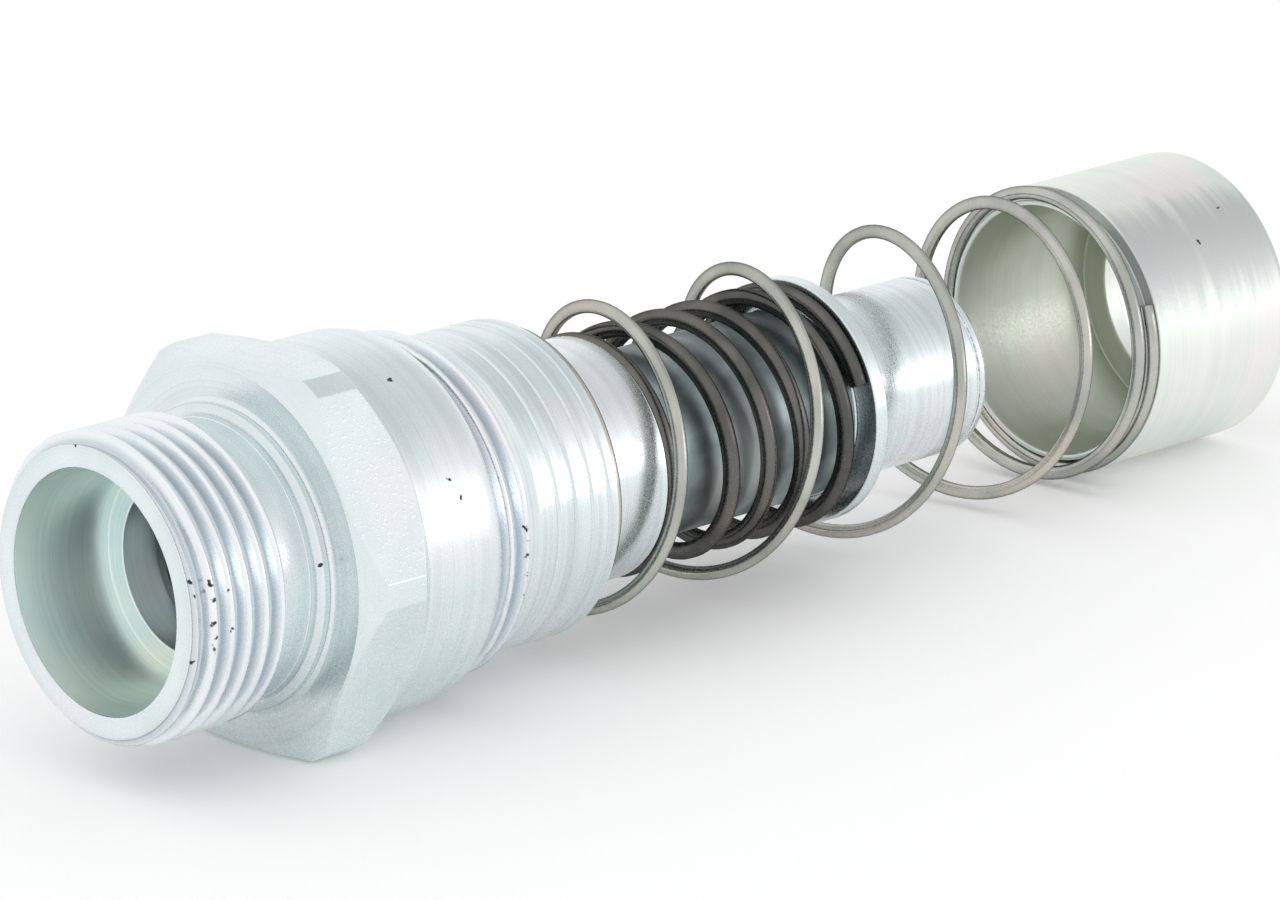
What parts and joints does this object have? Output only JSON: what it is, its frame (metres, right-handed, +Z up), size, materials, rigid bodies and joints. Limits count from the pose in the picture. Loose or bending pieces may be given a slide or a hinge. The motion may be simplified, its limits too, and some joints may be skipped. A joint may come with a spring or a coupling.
{
  "type": "quick coupling half",
  "caption": "Quick coupling half for a cooling line: coned thread port, hexagon, barrel, sprung valve sleeve and sprung coupling sleeve, drawn out.",
  "frame": {"origin": "on the axis, at the step inside the port where the tube's end seats", "axes": "+X along the axis from the port to the coupling sleeve, +Z up from the flat of the hexagon it lies on"},
  "size_m": [0.1053, 0.0302, 0.027],
  "materials": {
    "zinc_plate": "zinc plated, satin",
    "zinc_plate_yellow": "zinc plated with a yellow cast, satin",
    "turned_steel": "turned",
    "dark_spring_steel": "dark, semi-gloss",
    "light_spring_steel": "bright, semi-gloss",
    "seal_rubber": "matt",
    "backup_plastic": "matt",
    "bearing_bronze": "turned"
  },
  "bodies": {
    "body": {"port_adapter": "zinc_plate", "barrel": "zinc_plate", "body_seal": "seal_rubber", "stem_guide": "turned_steel", "valve_stem": "turned_steel", "stem_washer": "turned_steel", "stem_nut": "turned_steel", "stem_seal": "seal_rubber", "stem_backup_ring": "backup_plastic", "tail_guide_ring": "bearing_bronze", "tail_seal": "seal_rubber", "tail_backup_ring": "backup_plastic", "wiper_ring": "seal_rubber", "inner_spring": "dark_spring_steel", "outer_spring": "light_spring_steel"},
    "valve": {"valve_sleeve": "zinc_plate"},
    "sleeve": {"coupling_sleeve": "zinc_plate_yellow"}
  },
  "joints": [
    {"name": "valve_slide", "type": "slide", "parent": "body", "child": "valve", "axis": [-1, 0, 0], "range_m": [0, 0.009], "stiffness_N_per_m": 1500, "deforming": ["inner_spring"]},
    {"name": "sleeve_slide", "type": "slide", "parent": "body", "child": "sleeve", "axis": [-1, 0, 0], "range_m": [0, 0.037], "stiffness_N_per_m": 300, "deforming": ["outer_spring"]}
  ]
}
